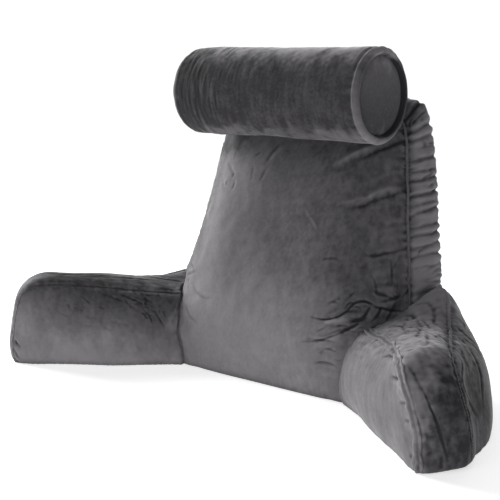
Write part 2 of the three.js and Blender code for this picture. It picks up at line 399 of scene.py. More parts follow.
CREASES["right_arm_cover"] = table(
    Crease,
    # short puckers along the inner seam
    ((350, -200, 143), (376, -224, 153), (398, -248, 160), 2.2, 2.4),
    ((404, -264, 132), (430, -290, 143), (446, -300, 148), 2.4, 2.2),
    ((436, -291, 104), (452, -301, 110), (464, -306, 113), 2.0, 2.0),
    ((446, -297, 78), (460, -303, 84), (472, -304, 88), 1.5, 2.0),
    # the fold that runs down the end
    ((444, -281, 161), (464, -289, 147), (476, -290, 130), 2.4, 2.6),
    ((475, -290, 134), (497, -286, 94), (516, -264, 26), 2.4, 1.3),
    ((482, -284, 126), (506, -276, 90), (522, -256, 34), -0.5, 5.0),
    ((462, -300, 112), (476, -300, 84), (486, -292, 58), 1.2, 2.6),
    # across the outer side
    ((484, -160, 150), (500, -196, 138), (505, -212, 126), 2.7, 2.5),
    ((505, -214, 124), (514, -184, 100), (512, -140, 60), 3.1, 2.5),
    ((440, -80, 140), (466, -100, 110), (480, -120, 60), 2.2, 3.1),
    ((360, -10, 150), (392, -30, 110), (410, -50, 60), 2.0, 3.7),
    # across the top, from the root
    ((270, -60, 160), (300, -70, 168), (336, -116, 168), 2.4, 2.5),
    ((262, -30, 166), (300, -34, 176), (350, -80, 176), 2.2, 2.5),
    ((280, -4, 176), (318, -14, 182), (352, -44, 178), 2.2, 2.5),
    ((330, -70, 176), (362, -110, 176), (396, -170, 172), 1.7, 2.5),
    ((380, -120, 176), (410, -160, 174), (440, -214, 168), 1.7, 2.5),
)
CREASES["left_arm_cover"] = table(
    Crease,
    ((-250, -124, 116), (-236, -118, 98), (-220, -112, 80), 1.3, 1.6),
    ((-282, -144, 146), (-262, -132, 132), (-240, -122, 116), 0.6, 1.6),
    ((-316, -166, 150), (-290, -150, 140), (-262, -134, 124), 0.6, 1.6),
    ((-344, -186, 146), (-314, -166, 134), (-286, -148, 118), 0.6, 1.8),
    ((-480, -296, 56), (-470, -294, 48), (-458, -288, 38), 1.9, 2.0),
    ((-482, -294, 38), (-472, -290, 28), (-462, -284, 16), 2.2, 2.0),
    ((-484, -292, 22), (-476, -288, 14), (-468, -284, 6), 1.9, 1.9),
    # along the top
    ((-440, -230, 172), (-400, -176, 172), (-356, -120, 172), 1.5, 2.5),
    ((-390, -180, 172), (-340, -110, 172), (-300, -60, 172), 1.5, 2.5),
    ((-330, -60, 176), (-296, -30, 176), (-262, -16, 172), 2.0, 2.5),
    # across the outer side
    ((-490, -170, 146), (-506, -190, 120), (-512, -200, 80), 2.2, 2.8),
    ((-440, -80, 140), (-466, -100, 100), (-480, -120, 50), 2.0, 3.1),
    ((-360, -10, 150), (-392, -30, 110), (-410, -50, 60), 1.9, 3.7),
    ((-474, -280, 146), (-498, -278, 98), (-516, -256, 30), 2.2, 3.1),
)


class Gathers(NamedTuple):
    """A zone full of small folds that run about one way; lengths in mm."""

    centre: tuple
    reach: tuple
    way: tuple
    count: int
    length: float
    depth: float
    width: float


GATHERS = {}
GATHERS["back_cover"] = table(
    Gathers,
    ((206, -62, 158), (34, 20, 24), (0.8, 0.4, 0.5), 18, 24, 1.7, 1.4),
    ((176, -90, 106), (26, 10, 30), (0.9, 0.2, 0.3), 8, 24, 1.6, 1.5),
    ((250, -14, 206), (14, 22, 28), (0.2, -0.3, 0.9), 8, 18, 1.1, 1.4),
    ((266, 70, 220), (10, 44, 36), (0.1, 0.9, 0.6), 14, 26, 2.2, 1.7),
    ((258, 110, 350), (6, 34, 110), (0.0, 0.9, 0.4), 30, 26, 2.2, 1.6),
    ((-258, 110, 340), (6, 34, 110), (0.0, 0.9, 0.3), 12, 26, 1.5, 1.7),
    ((-150, 14, 410), (40, 20, 30), (0.3, 0.4, 0.8), 7, 18, 0.8, 2.0),
    ((-212, -50, 170), (16, 20, 44), (0.5, -0.2, -0.7), 7, 24, 0.9, 1.8),
)
GATHERS["right_arm_cover"] = table(
    Gathers,
    ((320, -50, 176), (52, 48, 12), (0.7, -0.6, 0.0), 24, 30, 2.5, 1.6),
    ((420, -140, 170), (40, 60, 14), (0.6, -0.7, 0.0), 16, 26, 1.6, 1.6),
    ((478, -296, 24), (12, 10, 20), (0.1, 0.2, 0.9), 6, 18, 1.6, 1.7),
    ((506, -200, 60), (12, 40, 50), (0.1, 0.5, -0.7), 7, 34, 1.5, 1.8),
)
GATHERS["left_arm_cover"] = table(
    Gathers,
    ((-256, -134, 132), (30, 20, 20), (0.7, 0.35, -0.6), 34, 15, 1.2, 1.3),
    ((-350, -190, 128), (90, 50, 24), (0.8, 0.5, -0.2), 20, 24, 0.7, 1.8),
    ((-478, -292, 32), (8, 6, 22), (0.5, 0.1, -0.4), 7, 14, 1.7, 1.4),
)


def gathered(name):
    """The small folds of a cover's gathered zones."""
    random = np.random.default_rng(17)
    creases = []
    for zone in GATHERS[name]:
        for _ in range(zone.count):
            middle = zone.centre + np.clip(random.normal(size=3), -1.6, 1.6) * zone.reach
            way = zone.way + 0.3 * random.normal(size=3)
            half = way * zone.length * random.uniform(0.25, 0.55)
            bend = middle + 0.10 * zone.length * random.normal(size=3)
            start, end = tuple(middle - half), tuple(middle + half)
            depth = zone.depth * random.uniform(0.5, 1.1)
            width = zone.width * random.uniform(0.8, 1.3)
            creases.append(Crease(start, tuple(bend), end, depth, width))
    return creases


class Lift(NamedTuple):
    """A soft move of the cloth about a place: its centre, its reach and how far it goes, in mm."""

    centre: tuple
    reach: tuple
    move: tuple


LEFT_BULGE = ((-216, -82, 76), (36, 50, 52), (-11, -5, 0))
LIFTS = {}
LIFTS["back_cover"] = table(
    Lift,
    LEFT_BULGE,
    ((268, 90, 190), (60, 60, 60), (2, 2, 0)),
    ((258, 130, 480), (40, 70, 50), (-5, -4, 0)),
    ((225, 140, 545), (60, 60, 40), (-2, 0, 9)),
    ((-262, 70, 430), (60, 80, 60), (-8, -3, 0)),
)
LIFTS["right_arm_cover"] = table(
    Lift,
    ((303, 25, 180), (46, 50, 60), (15, 10, 26)),
    ((262, -62, 190), (60, 50, 60), (0, 0, -12)),
    ((455, -300, 80), (50, 60, 110), (6, 0, 0)),
    ((512, -232, 100), (46, 46, 120), (8, 4, 0)),
    ((512, -160, 70), (60, 80, 100), (-15, -11, 0)),
    ((386, -6, 150), (74, 66, 60), (9, 7, 4)),
    ((500, -290, 20), (60, 40, 60), (-4, -6, 0)),
    ((440, -270, 6), (50, 50, 34), (-2, -6, 0)),
    ((272, -141, 12), (60, 60, 30), (0, 0, 8)),
)
LIFTS["left_arm_cover"] = table(
    Lift,
    LEFT_BULGE,
    ((-276, 16, 196), (60, 90, 60), (0, 0, -22)),
    ((-500, -290, 30), (60, 70, 50), (-2, -10, 0)),
    ((-500, -270, 158), (60, 80, 40), (-6, 0, 13)),
    ((-440, -258, 6), (90, 70, 36), (8, -16, 0)),
    ((-330, -176, 6), (80, 70, 36), (7, -11, 0)),
)


def lift(points, name):
    """Moves points with the lifts of a cover."""
    points = points.copy()
    for each in LIFTS.get(name, []):
        share = np.exp(-((((points / MM - each.centre) / each.reach) ** 2).sum(1)))
        points += share[:, None] * np.array(each.move) * MM
    return points


def curve_through(crease):
    """Points along a crease, in metres; it wanders a little from its curve."""
    a, b, c = (np.array(p, float) * MM for p in (crease.start, crease.bend, crease.end))
    pull = 2 * b - (a + c) / 2
    share = np.linspace(0, 1, CREASE_POINTS)[:, None]
    line = (1 - share) ** 2 * a + 2 * share * (1 - share) * pull + share**2 * c
    wander = np.stack([ripple(line, 0.022, 31 + axis) for axis in range(3)], 1)
    return line + 0.45 * crease.width * MM * wander


def laid_on(tree, line):
    """The line moved onto the nearest face of the tree."""
    return np.array([tree.find_nearest(Vector(p))[0] for p in line])


def about(points, line, reach):
    """The numbers of the points in the box that holds a line with the reach round it."""
    low, high = line.min(0) - reach, line.max(0) + reach
    return np.flatnonzero(((points > low) & (points < high)).all(1))


def from_line(points, line, reach):
    """Which points are within reach of a line, how far they are and how far along they sit."""
    near = about(points, line, reach)
    starts, steps = line[:-1], np.diff(line, axis=0)
    away = points[near][:, None, :] - starts[None]
    along = np.clip((away * steps).sum(2) / ((steps**2).sum(1) + 1e-12), 0, 1)
    far = np.linalg.norm(away - along[..., None] * steps, axis=2)
    nearest = far.argmin(1)
    rows = np.arange(len(near))
    return near, far[rows, nearest], (nearest + along[rows, nearest]) / len(steps)


def refine_near(piece, laid, beside):
    """Halves the cloth's spacing along its creases and seams."""
    mesh = bmesh.new()
    mesh.from_mesh(piece.data)
    points = points_of(piece.data)
    marked = distances(beside, points, 0.02) < 0.010
    for crease, line in laid:
        near, far, _ = from_line(points, line, 0.008)
        marked[near[far < 0.004 + 0.8 * crease.width * MM]] = True
    edges = [e for e in mesh.edges if marked[e.verts[0].index] and marked[e.verts[1].index]]
    bmesh.ops.subdivide_edges(mesh, edges=edges, cuts=1, use_grid_fill=True)
    mesh.to_mesh(piece.data)
    mesh.free()
    smooth(piece)


def press_creases(points, laid):
    """How far the creases move each point outwards, as a sharp line in a soft trough with a lip
    on either side, and the painted shade along each line's core; a ridge gets a painted highlight
    there instead."""
    moved, shade = np.zeros((2, len(points)))
    for crease, line in laid:
        width = crease.width * MM
        near, far, share = from_line(points, line, 4.5 * width)
        if len(near):
            taper = np.sin(math.pi * np.clip(share, 0.02, 0.98)) ** 0.6
            taper *= 1 + 0.3 * ripple(points[near], 0.02, 35)
            r = far / width
            trough = 0.65 * bell(r) + 0.35 * bell(r / 2.2)
            lip = CREASE_LIP * bell((r - 2.4) / 1.2)
            moved[near] += crease.depth * MM * taper * (lip - trough)
            # Painted shade along the crease's core; on a ridge, a painted highlight.
            darkness = np.clip(crease.depth / 3.2, -0.5, 1)
            shade[near] += darkness * taper * bell(far / CREASE_CORE)
    return moved, shade


def seam_puckers(points, node, seed):
    """Short folds square to a cushion's seams: how far they move each point, and the painted shade
    in them.
    """
    random = np.random.default_rng(seed)
    moved, shade = np.zeros((2, len(points)))
    for path in (seam_path(welt) for welt in welts_of(node)):
        tree = KDTree(len(path))
        for i, spot in enumerate(path):
            tree.insert(spot, i)
        tree.balance()
        near = about(points, path, NEARBY)
        found = [tree.find(Vector(p)) for p in points[near]]
        steps = unit(np.gradient(path, axis=0))
        at = np.array([f[1] for f in found])
        along = at * SEAM_PITCH + ((points[near] - path[at]) * steps[at]).sum(1)
        far = np.array([f[2] for f in found])
        place = 0.01
        while place < along.max():
            length, depth = random.uniform(0.006, 0.022), random.uniform(0.4, 1.5)
            slant = random.uniform(-0.35, 0.35)
            share = bell((along - place - slant * far) / PUCKER_WIDTH)
            share *= fade(far, 0.4 * length, length)
            share *= grow(far, 0.002, 0.005)
            moved[near] -= depth * MM * share
            shade[near] += 0.45 * depth * share
            place += random.uniform(0.007, 0.019)
    return moved, shade


def ruche_creases():
    """The ruches of both side strips; the left ones differ a little from the right ones."""
    random = np.random.default_rng(7)
    front, rear = (seam_path(node, 0.004) for node in welts_of("back_cushion"))
    creases = []
    for side in (1, -1):
        edges = [
            line[(line[:, 0] * side > 0.1) & (line[:, 2] > 0.03)] / MM for line in (front, rear)
        ]
        for ruche in RUCHES:
            slip = random.uniform(-7, 7) if side < 0 else 0
            starts, ends = (
                line[np.abs(line[:, 2] - ruche.height - slip - rise).argmin()]
                for line, rise in zip(edges, (0, 1.5 * ruche.rise + random.uniform(0, 6)))
            )
            first = starts + (ends - starts) * ruche.first
            last = starts + (ends - starts) * ruche.last
            bend = (first + last) / 2 + (side * 6, 0, random.uniform(-5, 5))
            depth = ruche.depth * (random.uniform(0.6, 1.1) if side < 0 else 1)
            creases.append(Crease(tuple(first), tuple(bend), tuple(last), depth, ruche.width))
    return creases


# Seams


def seam_path(node, pitch=SEAM_PITCH):
    """Points along the middle of a CAD welt, in order from one end to the other."""
    mesh = merged_copy(node)
    long = [e for e in mesh.edges if e.calc_length() > LONG_EDGE]
    bmesh.ops.subdivide_edges(mesh, edges=long, cuts=3, use_grid_fill=True)
    bmesh.ops.triangulate(mesh, faces=mesh.faces)
    mesh.verts.index_update()
    mesh.verts.ensure_lookup_table()
    first = walk(mesh, 0).argmax()
    far = walk(mesh, int(first))
    spots = np.array([v.co for v in mesh.verts])
    mesh.free()
    bins = np.floor(far / SEAM_BIN).astype(int)
    middles = np.array([spots[bins == b].mean(0) for b in np.unique(bins)])
    middles = smoothed(middles, 3)
    middles = np.vstack([2 * middles[0] - middles[1], middles, 2 * middles[-1] - middles[-2]])
    return resampled(middles, pitch)


def walk(mesh, start):
    """How far each vertex is from the start along the mesh's edges."""
    far = np.full(len(mesh.verts), np.inf)
    far[start] = 0
    queue = [(0.0, start)]
    while queue:
        reached, at = heapq.heappop(queue)
        if reached > far[at]:
            continue
        vertex = mesh.verts[at]
        for edge in vertex.link_edges:
            other = edge.other_vert(vertex).index
            there = reached + edge.calc_length()
            if there < far[other]:
                far[other] = there
                heapq.heappush(queue, (there, other))
    return far


def resampled(line, pitch):
    """The line with its points at even steps of about the pitch."""
    lengths = np.linalg.norm(np.diff(line, axis=0), axis=1)
    along = np.concatenate([[0], np.cumsum(lengths)])
    at = np.linspace(0, along[-1], max(2, round(along[-1] / pitch) + 1))
    return np.stack([np.interp(at, along, column) for column in line.T], 1)


def smoothed(rows, times):
    """The rows averaged with their neighbours, that many times; both ends stay."""
    rows = rows.copy()
    for _ in range(times):
        rows[1:-1] = (rows[:-2] + 2 * rows[1:-1] + rows[2:]) / 4
    return rows


# Covers


def other_cushions(node):
    """A search tree of the cushions that this one may lean on."""
    return tree_of(*[other for other in CUSHIONS.values() if other != node])


def start_cover(name, node):
    """A cushion's solid as an even grid of cloth, pinned along seams and where it is leant on."""
    piece = new_piece(name, merged_copy(node))
    remesh = piece.modifiers.new("cloth grid", "REMESH")
    remesh.mode = "VOXEL"
    remesh.voxel_size = sizes().cloth_grid
    settle(piece)
    points = points_of(piece.data)
    leaning = fade(distances(other_cushions(node), points, NEARBY), *LEANING)
    sewn = fade(distances(tree_of(*welts_of(node)), points, 0.02), *SEWN)
    hold = np.maximum(np.maximum(leaning, fade(points[:, 2], *FLOOR_HOLD)), sewn)
    group = piece.vertex_groups.new(name="held")
    steps = np.round(hold * HOLD_STEPS) / HOLD_STEPS
    for value in np.unique(steps):
        if value > 0:
            group.add(np.flatnonzero(steps == value).tolist(), float(value), "REPLACE")
    return piece, points


def welts_of(node):
    """The CAD welts on a cushion."""
    side = {"back_cushion": "welt_back", "arm_right": "welt_right", "arm_left": "welt_left"}[node]
    return [welt for welt in WELTS.values() if welt.startswith(side)]


def fill_covers(pieces):
    """Fills the covers by pressure, all at once, and leaves the result in their meshes."""
    wanted = sizes()
    scene = bpy.context.scene
    for piece, _ in pieces:
        cloth = piece.modifiers.new("filling", "CLOTH")
        settings = cloth.settings
        settings.quality = 4
        settings.use_pressure = True
        settings.uniform_pressure_force = wanted.pressure
        settings.effector_weights.gravity = 0
        settings.shrink_min = -wanted.fullness
        settings.vertex_group_mass = "held"
        settings.tension_stiffness = 15
        settings.compression_stiffness = 12
        settings.bending_stiffness = 0.4
        cloth.collision_settings.use_collision = False
        cloth.collision_settings.use_self_collision = False
        cloth.point_cache.frame_end = wanted.frames
    scene.frame_end = wanted.frames
    for step in range(1, wanted.frames + 1):
        scene.frame_set(step)
    for piece, before in pieces:
        made = modified_mesh(piece)
        moved = points_of(made) - before
        bpy.data.meshes.remove(made)
        far = np.linalg.norm(moved, axis=1)
        limit = wanted.swell_limit * np.tanh(far / wanted.swell_limit)
        moved *= (limit / np.maximum(far, 1e-9))[:, None]
        piece.modifiers.clear()
        place_points(piece.data, before + moved)
    scene.frame_set(1)


def refine(piece):
    """Evens the cloth and refines it once."""
    relax = piece.modifiers.new("relax", "SMOOTH")
    relax.factor = 0.5
    relax.iterations = 14
    finer = piece.modifiers.new("refine", "SUBSURF")
    finer.levels = finer.render_levels = 1
    settle(piece)
    piece.vertex_groups.clear()


def drawn_ripple(points, length, stretch, seed):
    """A ripple whose hills are drawn out along the axes by the given factors."""
    return ripple(points / np.array(stretch), length, seed)


def dress(piece, name, node, seed):
    """Draws the cloth in beside its seams, lays its creases, puffs and lifts it and stores its tone
    with painted light and shade. Where cushions meet, the cover keeps to its cushion's CAD surface."""
    tree = surface_of(piece)
    creases = CREASES[name] + gathered(name) + (ruche_creases() if name == "back_cover" else [])
    laid = [(crease, laid_on(tree, curve_through(crease))) for crease in creases]
    seams = tree_of(*welts_of(node))
    refine_near(piece, laid, seams)
    mesh = piece.data
    points, normals = points_of(mesh), normals_of(mesh)
    own = tree_of(node)
    meeting = fade(distances(other_cushions(node), points, NEARBY), *MEETING)
    for i in np.flatnonzero(meeting):
        points[i] += meeting[i] * (own.find_nearest(Vector(points[i]))[0] - Vector(points[i]))
    beside = distances(seams, points, 0.05)
    fine, shade = press_creases(points, laid)
    puckers, darkness = seam_puckers(points, node, seed + 1)
    pulled = 0.4 if name == "left_arm_cover" else 1
    fine += pulled * puckers
    shade += pulled * darkness
    fine += 0.0005 * fade(beside, 0.003, 0.024) * ripple(points, 0.012, seed + 2)
    x, _, z = points.T
    if name == "back_cover":
        strip = grow(np.abs(normals[:, 0]), 0.45, 0.8)
        fine += 0.0011 * strip * drawn_ripple(points, 0.011, (4, 4, 1), seed + 3)
        arms = distances(tree_of("arm_right", "arm_left"), points, 0.1)
        gathers = drawn_ripple(points, 0.013, (4, 4, 1), seed + 8)
        right = 0.3 + 0.7 * grow(x, 0.0, 0.1)
        fine += 0.0010 * right * (1 - strip) * fade(arms, 0.01, 0.07) * gathers
        fine += 0.0008 * (1 - strip) * fade(beside, 0.006, 0.035) * gathers
        puff = sizes().strip_puff * right * strip
        puff = puff * grow(beside, 0.004, 0.036) * grow(z, 0.03, 0.16)
    else:
        side = 1 if name.startswith("right") else -1
        along = points @ (ARM_ALONG * (side, 1, 1)) - ARM_START
        across = points @ (ARM_ACROSS * (side, 1, 1))
        top = facing_up(normals)
        lanes = np.stack([along / 5, across, z], 1)
        fine += (0.0010 if side > 0 else 0.0004) * top * ripple(lanes, 0.010, seed + 3)
        puff = 0
    out = puff + fine - sizes().seam_draw * fade(beside, 0.0, 0.010)
    out += 0.0011 * ripple(points, 0.11, seed) + 0.0004 * ripple(points, 0.035, seed + 1)
    free = (1 - fade(z, *FLOOR_HOLD)) * (1 - meeting)
    start = points.copy()
    points = lift(points + normals * (out * free)[:, None], name)
    low = points[:, 2] - sizes().sag * fade(points[:, 2], 0.0, 0.06)
    points[:, 2] = np.where(start[:, 2] < 0.0005, 0, np.maximum(low, 0))
    place_points(mesh, points)
    # Painted shade on the cloth beside the seams.
    shade += SEAM_SHADES[name] * fade(beside, 0.0015, 0.005)
    # Painted light on the left arm's top beside its seams, lightening the groove's shade there.
    if name == "left_arm_cover":
        shade -= 0.8 * top * fade(beside, 0.002, 0.012)
    paint_nap_and_light(mesh, name, start, normals, fine, shade, seed)


class NapAndLight(NamedTuple):
    """A place painted to a tone: its centre and reach in mm, and how light it looks. The tone is
    partly the pile's own brushed mottling, partly painted light, shade and sheen.
    """

    centre: tuple
    reach: tuple
    lightness: float


# Tones for each cover's zones: partly the pile's own brushed mottling, partly painted light, shade
# and sheen as each place looks when lit.
NAP_AND_LIGHT = {}
NAP_AND_LIGHT["back_cover"] = table(
    NapAndLight,
    ((0, 0, 300), (900, 900, 900), 0.30),
    ((-20, -90, 70), (330, 120, 150), 0.83),
    ((60, -100, 0), (220, 60, 40), 0.66),
    ((-190, 0, 260), (120, 120, 170), 0.66),
    ((-150, 30, 400), (90, 120, 90), 0.53),
    ((120, 0, 340), (110, 90, 140), 0.29),
    ((218, -20, 236), (62, 70, 80), 0.27),
    ((230, -44, 160), (64, 54, 34), 0.28),
    ((250, 28, 262), (36, 70, 110), 0.38),
    # Painted shade under the left part of the roll.
    ((-150, 30, 440), (60, 60, 34), 0.25),
    ((-250, 40, 300), (64, 110, 240), 0.14),
    # Painted shade under the left part of the roll.
    ((-196, 44, 462), (66, 90, 44), -0.3),
    # Painted light in the crevice where the left arm meets the back, lightening its shade.
    ((-212, -92, 50), (13, 26, 62), 0.9),
    ((0, 180, 250), (500, 70, 400), 0.45),
)
NAP_AND_LIGHT["right_arm_cover"] = table(
    NapAndLight,
    ((350, -150, 90), (900, 900, 900), 0.44),
    ((450, -200, 178), (120, 120, 24), 0.92),
    ((505, -140, 90), (70, 90, 100), 0.06),
    ((516, -236, 70), (54, 84, 120), 0.05),
    ((478, -178, 160), (44, 44, 26), 0.25),
    ((470, -280, 150), (22, 24, 18), 0.45),
    ((458, -294, 134), (24, 26, 34), 0.90),
    ((474, -300, 66), (19, 30, 80), 0.86),
    ((316, 20, 200), (100, 90, 68), 1.05),
    ((424, -262, 160), (14, 14, 8), 0.16),
    ((380, -218, 163), (14, 18, 8), 0.15),
    ((440, 0, 90), (90, 90, 120), 0.35),
)
NAP_AND_LIGHT["left_arm_cover"] = table(
    NapAndLight,
    ((-350, -150, 90), (900, 900, 900), 0.45),
    ((-330, -160, 165), (240, 200, 56), 0.20),
    ((-230, -120, 120), (70, 60, 45), 0.24),
    ((-320, -80, 180), (70, 60, 26), 0.0),
    ((-430, -180, 180), (80, 80, 26), 0.0),
    ((-264, -50, 190), (50, 60, 40), -0.3),
    ((-330, -220, 10), (220, 120, 55), 1.0),
    ((-470, -270, 70), (50, 50, 70), 0.75),
    ((-514, -262, 100), (24, 34, 100), 0.0),
    # Painted light in the crevice where the left arm meets the back, lightening its shade.
    ((-212, -92, 50), (13, 26, 62), 0.9),
)
NAP_AND_LIGHT["neck_roll_cover"] = table(
    NapAndLight,
    ((0, 0, 550), (900, 900, 900), 0.05),
    # The next two: painted sheen along the roll's underside.
    ((150, -50, 474), (110, 60, 22), 0.42),
    ((-90, -60, 472), (150, 60, 18), 0.36),
    # Painted sheen along the roll's top.
    ((60, -10, 644), (300, 90, 34), 1.0),
    ((-196, -30, 552), (60, 120, 90), -0.1),
)


def zone_nap_and_light(name, points):
    """How light the zones paint each point, partly the pile's mottling and partly painted light,
    shade and sheen, with the edges of each zone drawn out unevenly.
    """
    drawn = np.stack([drawn_ripple(points, 0.03, (1, 1, 3), 41 + axis) for axis in range(3)], 1)
    loose = points + 0.014 * drawn + 0.006 * ripple(points, 0.012, 44)[:, None]
    light = np.zeros(len(points))
    for place in NAP_AND_LIGHT[name]:
        away = (loose / MM - place.centre) / place.reach
        share = np.exp(-((away**2).sum(1) ** 1.5))
        light += (place.lightness - light) * share
    return light


def paint_nap_and_light(mesh, name, points, normals, fine, shade, seed):
    """Stores the plush's tone at each point: the zones' tones, partly the pile's mottling and
    partly painted light, shade and sheen; painted light on the back's side strips;
    painted highlights where the cloth is raised and on ridges; painted shade in creases, puckers,
    beside seams and by the floor; and streaks and clouds of the pile's own mottling where hands
    have brushed it."""
    clouds = ripple(points, 0.07, seed + 4) + 0.7 * ripple(points, 0.030, seed + 5)
    stretch = (1, 5, 5) if name == "neck_roll_cover" else (1, 1, 4)
    streaks = drawn_ripple(points, 0.010, stretch, seed + 6)
    x, _, z = points.T
    sideways = np.abs(normals[:, 0])
    if name == "neck_roll_cover":
        streaks *= fade(sideways, 0.3, 0.6)
    specks = ripple(points, 0.009, seed + 7) + 0.7 * ripple(points, 0.016, seed + 9)
    nap_and_painted_light = zone_nap_and_light(name, points)
    # Painted light on the back's side strips, which face sideways: the right strip lighter, most of
    # all low down and at its top by the roll; the left strip darker.
    if name == "back_cover":
        right = 0.85 + 0.45 * fade(z, 0.24, 0.36) + 0.4 * grow(z, 0.45, 0.51)
        nap_and_painted_light += (np.where(x > 0, right, 0.4) - nap_and_painted_light) * 0.85 * grow(sideways, 0.76, 0.92)
    if name == "neck_roll_cover":
        disc = 1 - 0.7 * grow(sideways, 0.6, 0.9)
        specks, clouds = 0.6 * disc * specks, 1.4 * disc * clouds
    # Painted highlights where the cloth is raised and on ridges, painted shade where it is pressed
    # in, in creases and beside seams; painted light where the shade is below zero.
    nap_and_painted_light += 0.13 * np.clip(fine / MM, -2.0, 2.5) - 0.30 * np.clip(shade, -1.4, 1)
    # Painted shade by the floor: darker within about two centimetres of it.
    nap_and_painted_light -= 0.75 * nap_and_painted_light * fade(z, 0.003, 0.022)
    top = facing_up(normals)
    if name == "back_cover":
        unrest = 0.5 + 0.5 * grow(x, -0.05, 0.12)
    elif name == "right_arm_cover":
        unrest = 0.6 + 1.4 * top + 0.6 * grow(normals @ ARM_ALONG, 0.4, 0.8)
    else:
        unrest = 0.6 + 0.3 * top
    nap_and_painted_light += unrest * (0.05 * clouds + 0.06 * streaks + 0.06 * specks)
    layer = mesh.attributes.new("nap_and_painted_light", "FLOAT", "POINT")
    layer.data.foreach_set("value", nap_and_painted_light.astype(np.float32))


class PILLOW_OT_covers(bpy.types.Operator):
    """Fill the covers of the back and the arms and lay their creases"""

    bl_idname = "pillow.covers"
    bl_label = "Back and arm covers"

    def execute(self, context):
        made = {name: node for name, node in CUSHIONS.items() if node != "neck_roll"}
        pieces = [start_cover(name, node) for name, node in made.items()]
        fill_covers(pieces)
        for seed, ((piece, _), (name, node)) in enumerate(zip(pieces, made.items())):
            refine(piece)
            dress(piece, name, node, 10 * seed)
            hand_over(piece, node)
        return {"FINISHED"}


def hand_over(piece, node):
    """Gives a piece its cloth, hangs it under the root body and hides the CAD node it stands for.
    """
    piece.data.materials.append(plush_material())
    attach(piece, "root")
    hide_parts(node)


# Neck roll


class RollRow(NamedTuple):
    """A point of the roll's outline, in mm: how far in from the end and out from the axis."""

    inwards: float
    radius: float


ROLL_DISC = table(
    RollRow,
    (4.0, 0), (4.2, 20), (4.6, 45), (5.4, 60), (7.6, 68.6),
    (8.8, 70.6), (6.0, 71.8), (1.6, 73.2), (-0.6, 75.6),
)
ROLL_TUBE = table(RollRow, (60.0, 84.4), (120.0, 83.6), (180.0, 83.4))
# The right end has a sharp folded edge, the left one is rounder and stands further out.
ROLL_RIGHT_EDGE = table(
    RollRow,
    (-1.0, 78.4), (0.6, 81.0), (3.6, 83.2), (6.0, 85.2),
    (8.6, 85.6), (11.6, 84.6), (20.0, 84.8),
)
ROLL_LEFT_EDGE = table(
    RollRow,
    (0.0, 77.6), (2.6, 80.0), (7.0, 82.0),
    (14.0, 83.2), (24.0, 83.6),
)
ROLL_LEFT_REACH = 0.004
ROLL_STEPS = 250
DISC_SEAM = 0.072


def rounded(rows, pitch):
    """A smooth line through the rows, with points at the given pitch."""
    rows = np.array(rows, float)
    ends = np.vstack([2 * rows[0] - rows[1], rows, 2 * rows[-1] - rows[-2]])
    share = np.linspace(0, 1, 12, endpoint=False)[:, None]
    parts = []
    for a, b, c, d in zip(ends, ends[1:], ends[2:], ends[3:]):
        bend = (-a + 3 * b - 3 * c + d) * share**3 + (2 * a - 5 * b + 4 * c - d) * share**2
        parts.append(b + 0.5 * (bend + (c - a) * share))
    return resampled(np.vstack([*parts, rows[-1:]]), pitch)


